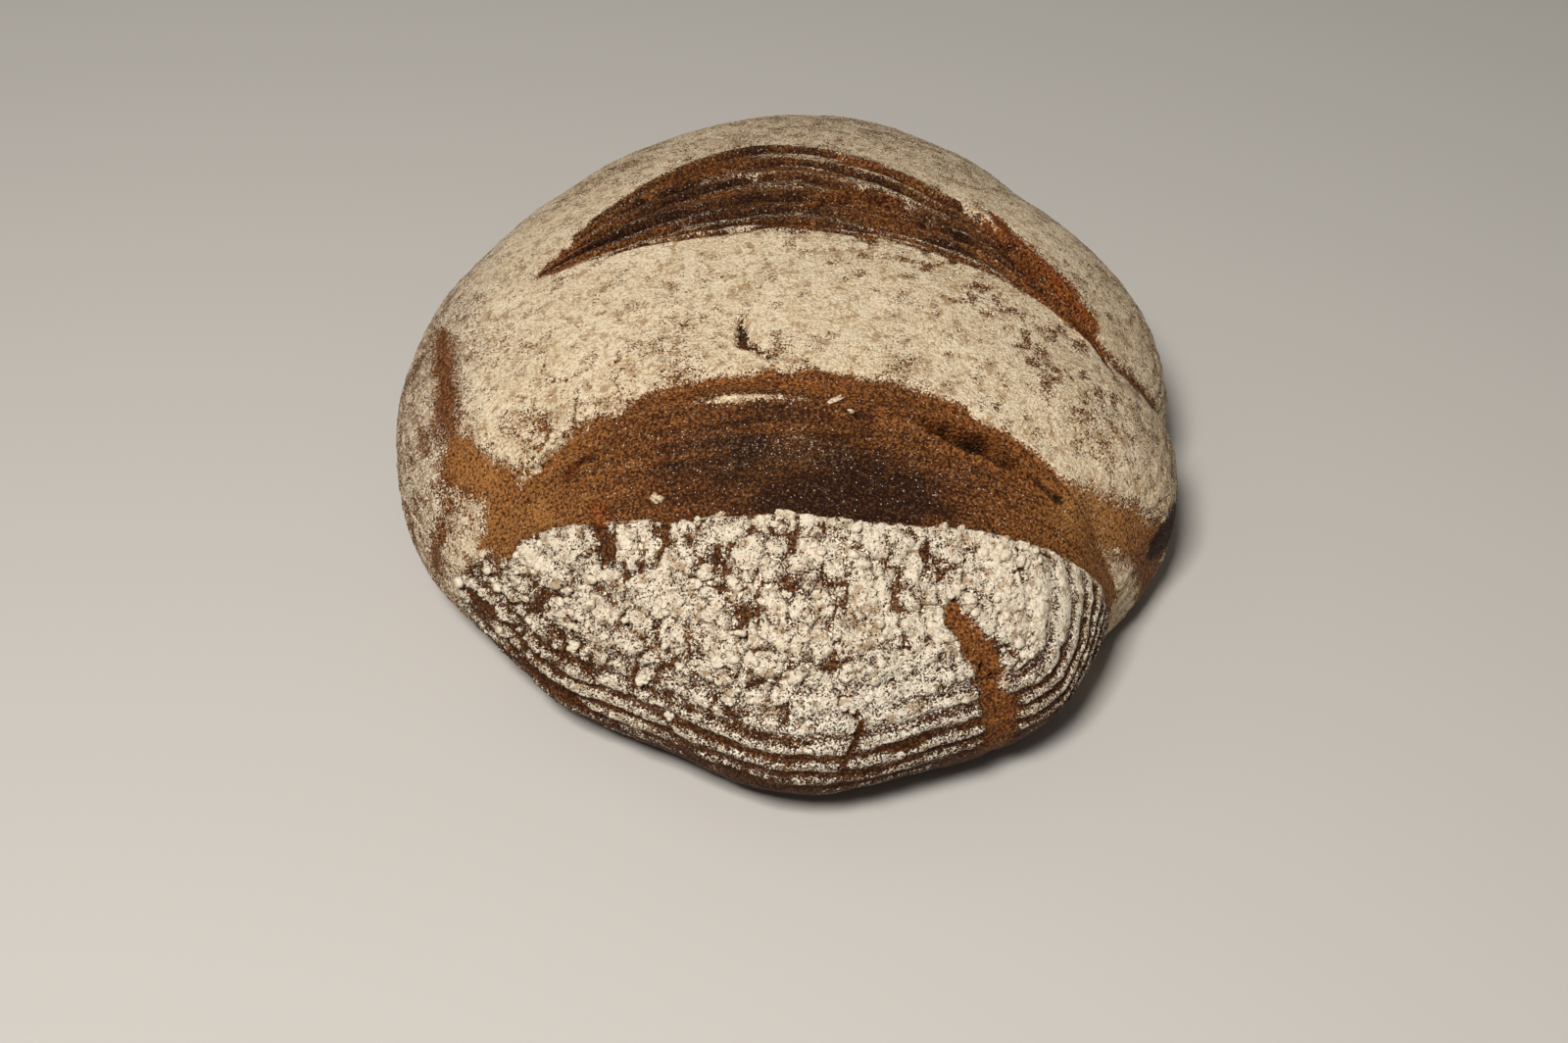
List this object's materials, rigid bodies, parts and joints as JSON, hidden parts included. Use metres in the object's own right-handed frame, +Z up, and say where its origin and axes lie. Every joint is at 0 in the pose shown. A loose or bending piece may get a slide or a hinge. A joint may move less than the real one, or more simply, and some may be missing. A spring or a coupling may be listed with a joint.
{
  "type": "sourdough loaf",
  "caption": "Whole round-shouldered country loaf with a floured crust, opened slashes across the top and a flat underside to rest on.",
  "frame": {"origin": "centre of the loaf's bounding box on the flat underside", "axes": "+Z up; +Y runs from the front crust across both slashes to the back crust, the longest way; +X to the right along the slashes"},
  "size_m": [0.2492, 0.301, 0.094],
  "materials": {
    "crust": "matte baked crust, dark brown in the opened slashes and dusted with cream flour elsewhere",
    "flour": "dry clinging coat of cream flour, matte and crumbly, browner where it is thin"
  },
  "bodies": {
    "root": {"loaf": "crust"}
  },
  "joints": []
}
